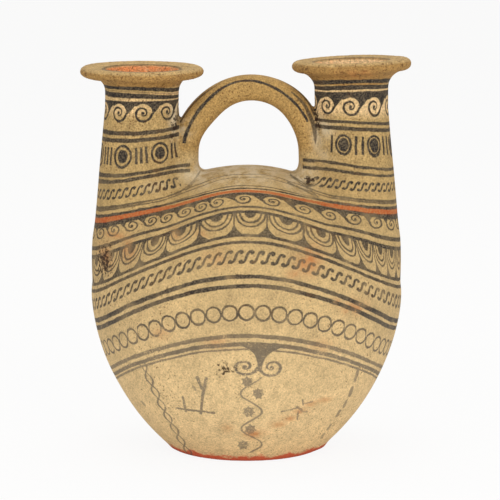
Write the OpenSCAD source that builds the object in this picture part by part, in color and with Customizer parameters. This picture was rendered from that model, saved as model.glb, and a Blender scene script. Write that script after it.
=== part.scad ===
// Double-necked askos with an arched handle, built up as a potter lutes it:
// floor, lower bowl, shoulder, two necks, two rims and the handle.
// Millimetres, front of the vessel on -Y, up on +Z, standing face on z = 0.

/* [Body] */
// Half width of the belly, along the line of the two necks
belly_half_width = 111; // [104:1:118]
// Half depth of the belly, front to back
belly_half_depth = 93; // [84:1:102]
// Height of the widest line above the table
belly_height = 112; // [104:1:122]
// Radius of the flat standing face
base_radius = 54; // [46:1:60]
// Rise of the saddle between the necks above the widest line
saddle_rise = 91; // [86:1:96]
// Thickness of the body wall
wall_thickness = 5; // [4:0.5:6]
// Thickness of the floor
floor_thickness = 8; // [6:1:10]
// Fullness of the lower wall going down, higher is fuller
lower_fullness = 1.8; // [1.7:0.05:1.9]

/* [Necks] */
// Distance of each neck axis in from the flank of the belly
neck_inset = 36; // [34:0.5:38]
// Outer radius of a neck under its rim
neck_radius = 26; // [25:0.5:27.5]
// Radius of the bore through each neck
bore_radius = 22; // [20:0.5:23]
// How much the neck widens per millimetre going down
neck_taper = 0.09; // [0.075:0.005:0.1]
// Length of the straight tube at the top of the shorter neck
straight_neck_length = 16; // [12:1:20]
// Length of the left neck above the shoulder
left_neck_length = 55; // [51:1:58]
// Length of the right neck above the shoulder
right_neck_length = 57; // [53:1:60]
// Length of the fillet where the neck meets the shoulder
neck_fillet = 16; // [12:1:20]

/* [Rims] */
// Outer radius of the left rim
left_rim_radius = 44; // [40:0.5:45]
// Outer radius of the right rim
right_rim_radius = 42.4; // [40:0.4:44]
// Height of the left rim above its neck
left_rim_rise = 12.2; // [11.2:0.2:14]
// Height of the right rim above its neck
right_rim_rise = 16; // [14.6:0.2:17]
// Radius of the rounded lip of the left rim
left_lip_radius = 2.9; // [2.4:0.1:3.4]
// Radius of the rounded lip of the right rim
right_lip_radius = 3.6; // [3:0.1:4]
// Radius of each mouth at the top
mouth_radius = 26; // [25:0.5:28]
// Lean of the right rim, front edge up
right_rim_back_lean = 1.8; // [0:0.2:2.4]
// Lean of the right rim, outer edge up
right_rim_side_lean = 1.7; // [0:0.1:2]

/* [Handle] */
// Gap from a neck axis to the inner face of the handle arch
arch_neck_gap = 38.8; // [37.3:0.5:40.8]
// Thickness of the handle strap, across the arch
strap_thickness = 17; // [15:0.5:18]
// Width of the handle strap, front to back
strap_width = 24; // [20:0.5:27]
// Rise of the centre of the arch above the top of the shoulder
arch_centre_rise = 8; // [5:1:10]
// Sideways shift of the handle toward the right neck
handle_shift = 1.4; // [0:0.1:2]
// Fillet where the handle feet meet the shoulder
foot_fillet = 8; // [5:1:10]

/* [Hidden] */
$fn = 96;
neck_x = belly_half_width - neck_inset;
arch_inner_radius = neck_x - arch_neck_gap;
seat_rise = 3;
seat_height = belly_height + saddle_rise + seat_rise;
left_neck_height = seat_height + left_neck_length;
right_neck_height = seat_height + right_neck_length;
straight_neck_height = min(left_neck_height, right_neck_height) - straight_neck_length;
arch_centre_height = seat_height + arch_centre_rise;
oval_steps = 36;
seam_steps = 24;
seam_bearing = 97;
loop_steps = oval_steps + seam_steps;
rise_steps = 13;
bowl_steps = 11;
wide_power = 1.6;
dome_power = 1.75;
foot_tuck = 0.0025;
foot_tuck_height = belly_height + 48;
blend_ramp = 40;
blend_fade = 20;
wall_search = 1.35 * belly_half_width;
seat_search = 2.7 * neck_radius;
joint_flare = 0.7;
joint_step = 5;
trim_depth = 3;
core_rise = 12;
strap_mid_radius = arch_inner_radius + strap_thickness / 2;
clay_light = [0.83, 0.68, 0.45];
clay_mid = [0.80, 0.64, 0.41];
clay_warm = [0.77, 0.60, 0.38];

// Lower body profile

lower_reach = belly_height / pow(1 - pow(base_radius / belly_half_width, wide_power), 1 / lower_fullness);
function lower_fill(z) = pow(1 - pow((belly_height - z) / lower_reach, lower_fullness), 1 / wide_power);
function lower_width(z) = belly_half_width * lower_fill(z);
function ease(t) = t * t * (3 - 2 * t);
function lower_depth(z) =
    lower_width(z) * (1 - (1 - belly_half_depth / belly_half_width) * ease(z / belly_height));

// Points around an oval, starting at the back of the seam plane and turning through +X

function oval_angle(i) = -90 + 180 * i / oval_steps;
function half_oval(a, b, z) =
    [for (i = [0:oval_steps]) [a * cos(oval_angle(i)), b * sin(oval_angle(i)), z]];
function whole_oval(a, b, z) =
    [for (i = [0:2 * oval_steps - 1]) [a * cos(oval_angle(i)), b * sin(oval_angle(i)), z]];

// Signed reach of the shoulder: negative inside, measured in millimetres near the wall

function blend(a, b, k) = min(a, b) - pow(max(k - abs(a - b), 0), 2) / (4 * max(k, 0.01));
function dome(x, y, z, t) =
    (sqrt(
        pow(x / (belly_half_width - t), 2) + pow(y / (belly_half_depth - t), 2)
        + pow(max(z - belly_height, 0) / (saddle_rise - t), dome_power)
    ) - 1) * saddle_rise;
function neck_outer(z) =
    neck_radius + neck_taper * max(straight_neck_height - z, 0)
    - foot_tuck * pow(max(foot_tuck_height - z, 0), 2);
function foot_section(x, y, side) =
    norm([
        x - strap_mid_radius - side * handle_shift,
        max(abs(y) - (strap_width - strap_thickness) / 2, 0)
    ]) - strap_thickness / 2;
function outer_field(x, y, z, side) =
    blend(
        blend(
            dome(x, y, z, 0),
            norm([x - neck_x, y]) - neck_outer(z),
            neck_fillet * min((z - belly_height) / blend_ramp, 1) * min((seat_height + 6 - z) / blend_fade, 1)
        ),
        foot_section(x, y, side),
        foot_fillet * max(min((z - belly_height) / blend_ramp, 1), 0)
    );
function inner_field(x, y, z) =
    blend(
        dome(x, y, z, wall_thickness),
        norm([x - neck_x, y]) - bore_radius,
        neck_fillet / 2 * min((z - belly_height) / blend_ramp, 1) * min((seat_height - z) * 2 / blend_fade, 1)
    );
function field(p, side, inside) =
    inside ? inner_field(p[0], p[1], p[2]) : outer_field(p[0], p[1], p[2], side);

// Rays from a point under the neck find the wall

heart = [neck_x - 9, 0, belly_height + 13];
function reach(from, ray, near, far, side, inside, n) =
    n == 0 ? (near + far) / 2
    : field(from + ray * (near + far) / 2, side, inside) < 0
        ? reach(from, ray, (near + far) / 2, far, side, inside, n - 1)
        : reach(from, ray, near, (near + far) / 2, side, inside, n - 1);
function bearing(v, i) = atan2(v[1], v[0]) + (i > oval_steps && v[1] < 0 ? 360 : 0);
function lift_of(v) = atan2(v[2], norm([v[0], v[1]]));

function seam_angle(k) = 90 - 180 * k / seam_steps;
function seam_point(k, t) =
    [
        0,
        (belly_half_depth - t) * sin(seam_angle(k)),
        belly_height + (saddle_rise - t) * pow(pow(cos(seam_angle(k)), 2), 1 / dome_power)
    ];
function low_loop(t) =
    concat(
        half_oval(belly_half_width - t, belly_half_depth - t, belly_height),
        [for (k = [1:seam_steps - 1]) seam_point(k, t)]
    );
function seat_angle(i) =
    i <= oval_steps ? oval_angle(i) * seam_bearing / 90
    : seam_bearing + (360 - 2 * seam_bearing) * (i - oval_steps) / seam_steps;
function seat_point(i, side, inside) =
    let (
        flat = [cos(seat_angle(i)), sin(seat_angle(i)), 0],
        start = [heart[0], 0, seat_height],
        lean = flat[0] * (heart[0] - neck_x)
    )
    start + flat * (
        inside
            ? sqrt(lean * lean + pow(bore_radius, 2) - pow(heart[0] - neck_x, 2)) - lean
            : reach(start, flat, 4, seat_search, side, false, 26)
    );
function skin(side, inside) =
    let (
        low = low_loop(inside ? wall_thickness : 0),
        high = [for (i = [0:loop_steps - 1]) seat_point(i, side, inside)]
    )
    [for (j = [0:rise_steps]) for (i = [0:loop_steps - 1])
        let (
            s = j / rise_steps,
            turn = bearing(low[i] - heart, i) * pow(1 - s, 2) + seat_angle(i) * (1 - pow(1 - s, 2)),
            lift = lift_of(low[i] - heart) * (1 - s) + lift_of(high[i] - heart) * s,
            ray = [cos(turn) * cos(lift), sin(turn) * cos(lift), sin(lift)],
            p = j == 0 ? low[i]
                : j == rise_steps ? high[i]
                : heart + ray * reach(heart, ray, 5, wall_search, side, inside, 26)
        )
        [p[0] * side, p[1], p[2]]
    ];

// Rows of the grids: right outer, right inner, left outer, left inner

layer = (rise_steps + 1) * loop_steps;
function on_seam(j, i) = j == 0 && (i == 0 || i >= oval_steps);
function spot(half, inside, j, i) =
    (on_seam(j, i % loop_steps) ? 0 : half * 2 * layer) + inside * layer + j * loop_steps + i % loop_steps;
function facing(f, flip) = flip ? [f[2], f[1], f[0]] : f;
function quad(a, b, c, d, flip) = [facing([a, b, c], flip), facing([a, c, d], flip)];

module shoulder_shell() {
    points = concat(skin(1, false), skin(1, true), skin(-1, false), skin(-1, true));
    faces = [
        for (half = [0, 1]) for (inside = [0, 1]) for (j = [0:rise_steps - 1]) for (i = [0:loop_steps - 1])
            for (f = quad(
                spot(half, inside, j, i), spot(half, inside, j + 1, i),
                spot(half, inside, j + 1, i + 1), spot(half, inside, j, i + 1),
                (half + inside) % 2 == 1
            )) f,
        for (half = [0, 1]) for (i = [0:loop_steps - 1])
            for (f = quad(
                spot(half, 0, rise_steps, i), spot(half, 1, rise_steps, i),
                spot(half, 1, rise_steps, i + 1), spot(half, 0, rise_steps, i + 1),
                half == 1
            )) f,
        for (half = [0, 1]) for (i = [0:oval_steps - 1])
            for (f = quad(
                spot(half, 0, 0, i), spot(half, 0, 0, i + 1),
                spot(half, 1, 0, i + 1), spot(half, 1, 0, i),
                half == 1
            )) f
    ];
    polyhedron(points = points, faces = faces, convexity = 6);
}

module bowl_shell() {
    n = 2 * oval_steps;
    function bowl_z(j) = floor_thickness + (belly_height - floor_thickness) * j / bowl_steps;
    function bowl_row(j, t) = whole_oval(lower_width(bowl_z(j)) - t, lower_depth(bowl_z(j)) - t, bowl_z(j));
    points = concat(
        [for (j = [0:bowl_steps]) for (p = bowl_row(j, 0)) p],
        [for (j = [0:bowl_steps]) for (p = bowl_row(j, wall_thickness)) p]
    );
    half = (bowl_steps + 1) * n;
    faces = [
        for (j = [0:bowl_steps - 1]) for (i = [0:n - 1])
            let (k = (i + 1) % n)
            for (f = quad(j * n + i, (j + 1) * n + i, (j + 1) * n + k, j * n + k, false)) f,
        for (j = [0:bowl_steps - 1]) for (i = [0:n - 1])
            let (k = (i + 1) % n)
            for (f = quad(half + j * n + i, half + (j + 1) * n + i, half + (j + 1) * n + k, half + j * n + k, true)) f,
        for (i = [0:n - 1])
            let (k = (i + 1) % n, top = bowl_steps * n)
            for (f = quad(top + i, half + top + i, half + top + k, top + k, false)) f,
        for (i = [0:n - 1])
            let (k = (i + 1) % n)
            for (f = quad(i, k, half + k, half + i, false)) f
    ];
    polyhedron(points = points, faces = faces, convexity = 4);
}

module neck_profile(top) {
    polygon([
        [bore_radius, seat_height],
        [neck_outer(seat_height), seat_height],
        [neck_radius, straight_neck_height],
        [neck_radius, top - joint_step],
        [neck_radius + joint_flare, top],
        [bore_radius, top]
    ]);
}

module neck(top) {
    rotate_extrude() neck_profile(top);
}

module rim_profile(radius, rise, lip) {
    under = rise - 2 * lip;
    polygon([
        [bore_radius + 0.2, -trim_depth],
        [neck_radius + joint_flare, -trim_depth],
        [neck_radius + joint_flare, 0],
        [neck_radius + 2.7, under * 0.5],
        [radius - lip - 2, under - 0.1],
        [radius - lip, under + 0.05],
        [radius - lip, rise - 0.05],
        [mouth_radius + 2, rise - 0.2],
        [mouth_radius, rise - 1.2],
        [bore_radius + 0.6, rise * 0.35]
    ]);
    translate([radius - lip, rise - lip]) circle(lip);
}

module rim(radius, rise, lip, back_lean, side_lean) {
    difference() {
        rotate([-back_lean, -side_lean, 0]) rotate_extrude() rim_profile(radius, rise, lip);
        translate([0, 0, -2 * trim_depth]) cube([4 * radius, 4 * radius, 4 * trim_depth], center = true);
    }
}

module strap_section() {
    square([strap_thickness, strap_width - strap_thickness], center = true);
    for (s = [-1, 1]) {
        translate([0, s * (strap_width - strap_thickness) / 2]) circle(strap_thickness / 2);
    }
}

module handle_arch() {
    translate([handle_shift, 0, arch_centre_height]) {
        rotate([90, 0, 0]) rotate_extrude(angle = 180) translate([strap_mid_radius, 0]) strap_section();
        for (s = [-1, 1]) {
            translate([s * strap_mid_radius, 0, seat_height - arch_centre_height])
                linear_extrude(arch_centre_height - seat_height) strap_section();
        }
    }
}

module neck_core() {
    rotate_extrude() polygon([
        [0, seat_height - joint_step],
        [neck_outer(seat_height - joint_step), seat_height - joint_step],
        [neck_radius, straight_neck_height],
        [neck_radius, straight_neck_height + core_rise],
        [0, straight_neck_height + core_rise]
    ]);
}

module floor_disc() {
    color(clay_warm) rotate_extrude() polygon([
        [0, 0],
        [base_radius - 1.5, 0],
        [base_radius + 0.6, 0.8],
        [(base_radius + lower_width(floor_thickness)) / 2 + 0.8, floor_thickness * 0.45],
        [lower_width(floor_thickness), floor_thickness],
        [0, floor_thickness]
    ]);
}

module lower_bowl() {
    color(clay_light) bowl_shell();
}

module shoulder() {
    color(clay_mid) shoulder_shell();
}

module neck_left() {
    color(clay_light) translate([-neck_x, 0, 0]) neck(left_neck_height);
}

module neck_right() {
    color(clay_light) translate([neck_x, 0, 0]) neck(right_neck_height);
}

module rim_left() {
    color(clay_warm) translate([-neck_x, 0, left_neck_height])
        rim(left_rim_radius, left_rim_rise, left_lip_radius, 0, 0);
}

module rim_right() {
    color(clay_warm) translate([neck_x, 0, right_neck_height])
        rim(right_rim_radius, right_rim_rise, right_lip_radius, right_rim_back_lean, right_rim_side_lean);
}

module handle() {
    color(clay_warm) difference() {
        handle_arch();
        translate([neck_x, 0, 0]) neck_core();
        translate([-neck_x, 0, 0]) neck_core();
    }
}

floor_disc();
lower_bowl();
shoulder();
neck_left();
neck_right();
rim_left();
rim_right();
handle();
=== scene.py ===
# Askos, a two-necked vessel with an arched handle: thrown and luted buff clay, painted in dark and red slip
import math

import bmesh
import bpy
import numpy as np
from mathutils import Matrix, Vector


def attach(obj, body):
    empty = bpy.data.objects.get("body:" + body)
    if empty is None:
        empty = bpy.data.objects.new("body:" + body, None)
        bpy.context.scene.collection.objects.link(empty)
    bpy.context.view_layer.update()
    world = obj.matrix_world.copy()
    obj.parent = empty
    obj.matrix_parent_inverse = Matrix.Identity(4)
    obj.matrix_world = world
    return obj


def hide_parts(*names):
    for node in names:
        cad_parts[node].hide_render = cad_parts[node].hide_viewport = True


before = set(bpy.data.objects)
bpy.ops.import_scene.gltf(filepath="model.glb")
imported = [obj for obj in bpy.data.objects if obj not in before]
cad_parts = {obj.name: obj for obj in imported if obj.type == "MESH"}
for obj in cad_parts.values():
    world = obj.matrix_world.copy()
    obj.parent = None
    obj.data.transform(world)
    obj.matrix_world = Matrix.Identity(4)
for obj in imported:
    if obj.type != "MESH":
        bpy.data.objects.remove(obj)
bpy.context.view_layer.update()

print("frame loaded:", len(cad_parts), "nodes")

# Shape, in millimetres, the same forms that the solids have

vessel = {
    "halfWidth": 110.6, "halfDepth": 92.4, "beltHeight": 112.0, "saddleRise": 91.0, "baseRadius": 54.0,
    "wall": 5.0, "floorTop": 7.6, "fullness": 1.8, "widePower": 1.6, "domePower": 1.75,
    "baseEdge": 1.6, "floorFillet": 3.0, "lipEdge": 1.3, "handWobble": 0.16,
    "gridStep": 1.6,  # size of one quad
    "gridLow": (-121.3, -96.1, -2.3), "gridHigh": (120.9, 96.2, 283.1),
}
neckForm = {
    "axis": 75.0, "radius": 26.0, "taper": 0.09, "straightFrom": 245.0, "tuck": 0.0025, "tuckFrom": 160.0,
    "fillet": 16.0, "bore": 22.0, "boreFrom": 150.0, "boreFillet": 7.0,
    "flareAt": 25.9, "flareFillet": 1.2,  # distance from the axis where a rim's flare leaves the tube
    "dish": 0.7, "dishFrom": 27.0, "dishOver": 12.0,  # how far a rim's top sinks toward the mouth
    "mouthOver": 12.0,  # depth over which a bore widens to the mouth
}
leftNeck = {
    "side": -1, "lean": 1.2, "rimRadius": 43.7, "lip": 2.9, "rimTop": 273.1, "mouth": 26.2,
    "flareFrom": 257.9, "flareRise": 8.6, "flareLength": 3.0, "flareSlope": 0.04,
    "frontUp": 0.0, "outerUp": 0.0,  # tilt of the rim in degrees
}
rightNeck = {
    "side": 1, "lean": 0.9, "rimRadius": 42.0, "lip": 3.5, "rimTop": 278.4, "mouth": 26.0,
    "flareFrom": 261.0, "flareRise": 8.6, "flareLength": 3.6, "flareSlope": 0.17,
    "frontUp": 1.6, "outerUp": 1.6,
}
handle = {
    "shift": 1.4, "centreHeight": 214.0, "midRadius": 44.7, "thickness": 18.2, "width": 24.0,
    "apexSkew": 2.4, "roundness": 2.5, "crotchFillet": 2.5, "footFillet": 8.0, "footSpread": 3.0,
    "leftSwell": 2.8, "leftSwellTurn": -50, "rightSwell": 1.2, "rightSwellTurn": 60, "swellReach": 26,
}


def ease(t):
    t = np.clip(t, 0, 1)
    return t * t * (3 - 2 * t)


def softUnion(a, b, radius):
    radius = np.maximum(radius, 0.01)
    overlap = np.maximum(radius - np.abs(a - b), 0)
    return np.minimum(a, b) - overlap * overlap / (4 * radius)


def softCut(a, b, radius):
    return -softUnion(-a, -b, radius)


def bodyForm(x, y, z, inset=0.0):
    v = vessel
    belt = v["beltHeight"]
    lift = (np.maximum(z - belt, 0) / (v["saddleRise"] - inset)) ** v["domePower"]
    above = np.sqrt((x / (v["halfWidth"] - inset)) ** 2 + (y / (v["halfDepth"] - inset)) ** 2 + lift) - 1
    reach = belt / (1 - (v["baseRadius"] / v["halfWidth"]) ** v["widePower"]) ** (1 / v["fullness"])
    low = np.minimum(z, belt)
    wide = v["halfWidth"] * (1 - (np.maximum(belt - low, 0) / reach) ** v["fullness"]) ** (1 / v["widePower"])
    deep = wide * (1 - (1 - v["halfDepth"] / v["halfWidth"]) * ease(low / belt))
    below = (np.sqrt((x / (wide - inset)) ** 2 + (y / (deep - inset)) ** 2) - 1) * (deep - inset)
    return np.where(z > belt, above * v["saddleRise"], below)


def neckPlace(x, y, z, one):
    # distance from the neck's axis, and height measured square to the tilted rim
    centre = one["side"] * (neckForm["axis"] - one["lean"] * np.clip((z - 200) / 60, 0, 1))
    tilt = math.tan(math.radians(one["frontUp"])) * -y
    tilt = tilt + math.tan(math.radians(one["outerUp"])) * (x - centre) * one["side"]
    return np.hypot(x - centre, y), z - tilt * ease((z - 254) / 12)


def neckForms(x, y, z, one):
    n = neckForm
    away, height = neckPlace(x, y, z, one)
    wide = n["radius"] + n["taper"] * np.maximum(n["straightFrom"] - z, 0)
    wide = wide - n["tuck"] * np.maximum(n["tuckFrom"] - z, 0) ** 2
    tube = np.maximum(away - wide, height - one["rimTop"] + 3)
    out = away - n["flareAt"]
    fall = np.exp(-np.maximum(out, -6) / one["flareLength"])
    under = one["flareFrom"] + one["flareRise"] * (1 - fall) + one["flareSlope"] * out
    steep = one["flareRise"] / one["flareLength"] * fall + one["flareSlope"]
    dish = one["rimTop"] - n["dish"] + n["dish"] * ease((away - n["dishFrom"]) / n["dishOver"])
    flange = np.maximum((under - height) / np.sqrt(1 + steep * steep), height - dish)
    fromLip = away - one["rimRadius"] + one["lip"]
    lip = np.hypot(fromLip, height - one["rimTop"] + one["lip"]) - one["lip"]
    return tube, softUnion(np.maximum(flange, fromLip), lip, n["flareFillet"])


def boreForm(x, y, z, one):
    away, height = neckPlace(x, y, z, one)
    n = neckForm
    opened = ease((height - one["rimTop"] + n["mouthOver"]) / n["mouthOver"])
    return np.maximum(away - (n["bore"] + (one["mouth"] - n["bore"]) * opened), n["boreFrom"] - z)


def archPlace(x, z):
    # distance outward from the arch's middle line, and degrees round it from the top
    h = handle
    up = z - h["centreHeight"]
    across = x - h["shift"] - h["apexSkew"] * ease(up / 50)
    arch = np.where(up > 0, np.hypot(across, up), np.abs(across)) - h["midRadius"]
    turn = np.degrees(np.arctan2(across, np.maximum(up, 0)))
    return arch, np.where(up > 0, turn, np.sign(across) * (90 - np.minimum(up, 0)))


def handleForm(x, y, z):
    # a strap that swells on its inner side where it was pressed into place
    h = handle
    arch, turn = archPlace(x, z)
    swell = h["leftSwell"] * np.exp(-((turn - h["leftSwellTurn"]) / h["swellReach"]) ** 2)
    swell = swell + h["rightSwell"] * np.exp(-((turn - h["rightSwellTurn"]) / h["swellReach"]) ** 2)
    root = ease((h["centreHeight"] + 6 - z) / 22)
    halfWide = h["width"] / 2 + h["footSpread"] * root
    halfThick = (h["thickness"] + swell) / 2
    p = h["roundness"]
    section = ((np.abs(arch + swell / 2) / halfThick) ** p + (np.abs(y) / halfWide) ** p) ** (1 / p)
    return (section - 1) * halfThick


def handWobble(x, y, z):
    # slow unevenness of a hand-built wall
    return vessel["handWobble"] * (
        np.sin(x / 31 + z / 43 + 1.3) + np.sin(y / 23 - z / 37 + 0.4)
        + 0.8 * np.sin((x + y) / 17 + z / 26) + 0.5 * np.sin((x - y) / 9.5 - z / 14)
    )


def outerForm(x, y, z):
    n = neckForm
    form = bodyForm(x, y, z)
    blend = n["fillet"] * np.clip((z - vessel["beltHeight"]) / 40, 0, 1) * np.clip((212 - z) / 20, 0.08, 1)
    for one in (leftNeck, rightNeck):
        tube, rim = neckForms(x, y, z, one)
        form = softUnion(form, softUnion(tube, rim, n["flareFillet"]), blend)
    crotch = handle["crotchFillet"] + (handle["footFillet"] - handle["crotchFillet"]) * ease((226 - z) / 18)
    return softUnion(form, handleForm(x, y, z), crotch) + handWobble(x, y, z)


def innerForm(x, y, z):
    cavity = softCut(bodyForm(x, y, z, vessel["wall"]), vessel["floorTop"] - z, vessel["floorFillet"])
    # the bores open softly into the body and stay true above it
    blend = neckForm["boreFillet"] * ease((z - 150) / 30) * (1 - ease((z - 196) / 14))
    for one in (leftNeck, rightNeck):
        cavity = softUnion(cavity, boreForm(x, y, z, one), blend)
    return cavity


def clayForm(x, y, z):
    shell = softCut(outerForm(x, y, z), -innerForm(x, y, z), vessel["lipEdge"])
    return softCut(shell, -z, vessel["baseEdge"])


def slopeOf(form, points, step=0.35):
    slope = np.empty_like(points)
    for axis in range(3):
        shift = np.zeros(3)
        shift[axis] = step
        slope[:, axis] = (form(*(points + shift).T) - form(*(points - shift).T)) / (2 * step)
    return slope


def netSurface(form, low, high, step):
    # one vertex per grid cell that the surface passes, one quad per grid edge that it crosses
    axes = [np.arange(a, b + step, step) for a, b in zip(low, high)]
    size = [len(a) for a in axes]
    values = np.empty(size, np.float32)
    for i, x in enumerate(axes[0]):
        values[i] = form(x, axes[1][:, None], axes[2][None, :])
    inside = values < 0
    corners = [(i, j, k) for i in (0, 1) for j in (0, 1) for k in (0, 1)]
    cells = [n - 1 for n in size]
    count = np.zeros(cells, np.int8)
    for i, j, k in corners:
        count += inside[i:i + cells[0], j:j + cells[1], k:k + cells[2]]
    places = np.argwhere((count > 0) & (count < 8))
    number = np.full(cells, -1, np.int64)
    number[tuple(places.T)] = np.arange(len(places))
    total = np.zeros((len(places), 3))
    hits = np.zeros(len(places))
    for a in range(8):
        for b in range(a + 1, 8):
            start, end = np.array(corners[a]), np.array(corners[b])
            if np.abs(end - start).sum() != 1:
                continue
            one = values[tuple((places + start).T)]
            two = values[tuple((places + end).T)]
            cross = (one < 0) != (two < 0)
            part = np.where(cross, one / np.where(cross, one - two, 1), 0)
            total += np.where(cross[:, None], start + part[:, None] * (end - start), 0)
            hits += cross
    points = np.array([a[0] for a in axes]) + (places + total / hits[:, None]) * step
    quads = []
    for axis in range(3):
        one, two = (axis + 1) % 3, (axis + 2) % 3
        keep = [slice(1, n - 1) for n in size]
        keep[axis] = slice(0, size[axis] - 1)
        after = [slice(1, n - 1) for n in size]
        after[axis] = slice(1, size[axis])
        first, second = inside[tuple(keep)], inside[tuple(after)]
        where = np.argwhere(first != second)
        outward = first[tuple(where.T)]
        where = where + [0 if a == axis else 1 for a in range(3)]
        ring = []
        for p, q in ((-1, -1), (0, -1), (0, 0), (-1, 0)):
            move = np.zeros(3, int)
            move[one], move[two] = p, q
            ring.append(number[tuple((where + move).T)])
        ring = np.array(ring).T
        quads.append(np.where(outward[:, None], ring, ring[:, ::-1]))
    return points, np.concatenate(quads)


def settle(form, points, quads, rounds=3):
    # evens out the quads, then brings every vertex back onto the surface
    for turn in range(rounds):
        if turn < 2:
            total = np.zeros_like(points)
            weight = np.zeros(len(points))
            for a, b in ((0, 1), (1, 2), (2, 3), (3, 0)):
                for one, two in ((quads[:, a], quads[:, b]), (quads[:, b], quads[:, a])):
                    weight += np.bincount(one, minlength=len(points))
                    for axis in range(3):
                        total[:, axis] += np.bincount(one, points[two, axis], len(points))
            points = 0.5 * points + 0.5 * total / weight[:, None]
        for _ in range(2):
            slope = slopeOf(form, points)
            steep = np.maximum((slope ** 2).sum(1), 0.05)
            move = form(*points.T) / steep
            points = points - np.clip(move, -1.5, 1.5)[:, None] * slope
    return points


points, quads = netSurface(clayForm, vessel["gridLow"], vessel["gridHigh"], vessel["gridStep"])
points = settle(clayForm, points, quads)
print("clay surface:", len(points), "vertices,", len(quads), "quads")

# Painted bands. A band keeps its height at the front and the back and sinks toward the flanks.

oval = {"wide": 111, "deep": 93}  # half width and half depth of the belly, as painted
bands = {
    "heights": [0, 60, 88, 114, 138, 151, 164, 178, 187, 192, 199, 204],
    "sinks": [0, 34, 37, 41.6, 46, 46, 44.5, 36.5, 25.5, 22.2, 23, 23],  # how far each is lower at the flanks
    "leans": [0, 0, 0, 0, 0, 1, 1.6, 2.6, 3, 3, 2.6, 2],  # how far each climbs from left to right
    "leanReach": 104,  # the distance across at which a band has climbed by its lean
    # share of the sink at each distance across, for bands from the second height upward
    "across": [0, 11, 22, 37, 57, 70, 84, 104, 125],
    "profiles": [
        (163, 179, [0, 0.02, 0.085, 0.225, 0.46, 0.58, 0.74, 1.0, 1.3]),
        (181, 190, [0, 0.03, 0.11, 0.285, 0.545, 0.66, 0.785, 1.0, 1.25]),
        (193, 198, [0, 0.012, 0.095, 0.32, 0.635, 0.72, 0.81, 1.0, 1.15]),
    ],
}
# Brush positions round the front, degrees from the front centre
spiralTurns = [
    -76.9, -69.1, -61.5, -53.1, -44.8, -35.5, -27.2, -19.2, -1.4, 17.4, 34.8, 49.3, 60.4, 69.2, 77.6,
]
tongueTurns = [-66.4, -54.3, -42.4, -30.9, -14.4, 1.8, 19.2, 35.2, 48.0, 58.2, 66.5, 74.0]
chainPitch = 360 / 61
wavePitch = 7.4  # millimetres along the band

bandHeights = np.arange(0, 216, 0.5)
padded = np.ones(13) / 13


def smoothKnots(values):
    fine = np.interp(np.arange(-3, 219, 0.5), bands["heights"], values)
    return np.convolve(fine, padded, "valid")[:len(bandHeights)]


bandSinks = smoothKnots(bands["sinks"])
bandLeans = smoothKnots(bands["leans"])
fineAcross = np.arange(0, 120, 1.0)
profiles = []
for start, end, shares in bands["profiles"]:
    fine = np.interp(np.abs(np.arange(-6, 126, 1.0)), bands["across"], shares)
    profiles.append((start, end, np.convolve(fine, padded, "valid")))


def surfaceHeight(band, x, y):
    # the height at which a band lies on the surface
    wide, deep = (x / oval["wide"]) ** 2, (y / oval["deep"]) ** 2
    share = wide / (wide + deep + 1e-6)
    side = np.abs(x)
    for start, end, shares in profiles:
        part = ease((band - start) / (end - start))
        share = share + part * (np.interp(side, fineAcross, shares) - share)
    sink = np.interp(band, bandHeights, bandSinks)
    lean = np.interp(band, bandHeights, bandLeans)
    return band - sink * share + lean * x * side / bands["leanReach"] ** 2


def bandHeight(x, y, z):
    low, high = np.zeros_like(z) - 1, np.zeros_like(z) + 300
    for _ in range(26):
        middle = (low + high) / 2
        past = np.minimum(middle, 204)
        over = surfaceHeight(past, x, y) + (middle - past) > z
        high = np.where(over, middle, high)
        low = np.where(over, low, middle)
    return (low + high) / 2


def bandLength(band):
    # length along a band on the true surface, from the front centre, per degree of turn
    turn = np.radians(np.arange(-180, 180.5, 0.5))
    low, high = np.full_like(turn, 0.2), np.full_like(turn, 1.3)
    for _ in range(24):
        middle = (low + high) / 2
        x, y = middle * oval["wide"] * np.sin(turn), -middle * oval["deep"] * np.cos(turn)
        z = surfaceHeight(np.full_like(turn, band), x, y)
        solid = outerForm(x, y, z) < 0
        low, high = np.where(solid, middle, low), np.where(solid, high, middle)
    path = np.stack([x, y, z], 1)
    length = np.concatenate([[0], np.cumsum(np.linalg.norm(np.diff(path, axis=0), axis=1))])
    return np.degrees(turn), length - length[len(length) // 2]


def allRound(turns, between):
    # the back repeats the front's spacing, with a few more motifs over each flank
    back = [180 - t for t in reversed(turns)]
    right = np.linspace(turns[-1], back[0], between + 1)[1:-1]
    left = np.linspace(back[-1], turns[0] + 360, between + 1)[1:-1]
    ring = np.array([*turns, *right, *back, *left])
    counts = np.arange(len(ring))
    turn = np.concatenate([ring - 360, ring, ring + 360])
    count = np.concatenate([counts - len(ring), counts, counts + len(ring)])
    fine = np.arange(-230, 231, 1.0)
    return fine, np.interp(fine, turn, count)


spiralTurn, spiralCount = allRound(spiralTurns, 3)
tongueTurn, tongueCount = allRound(tongueTurns, 4)
waveTurn, waveLength = bandLength(151)
waveTotal = waveLength[-1] - waveLength[0]
waveCount = waveLength * round(waveTotal / wavePitch) / waveTotal
spiralPitches = np.convolve(1 / np.gradient(spiralCount, spiralTurn), np.ones(9) / 9, "same")


def countAt(turn, turns, counts, total=None):
    if total is None:
        return np.interp(turn, turns, counts)
    lap = np.round(turn / 360)
    return np.interp(turn - lap * 360, turns, counts) + lap * total


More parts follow.
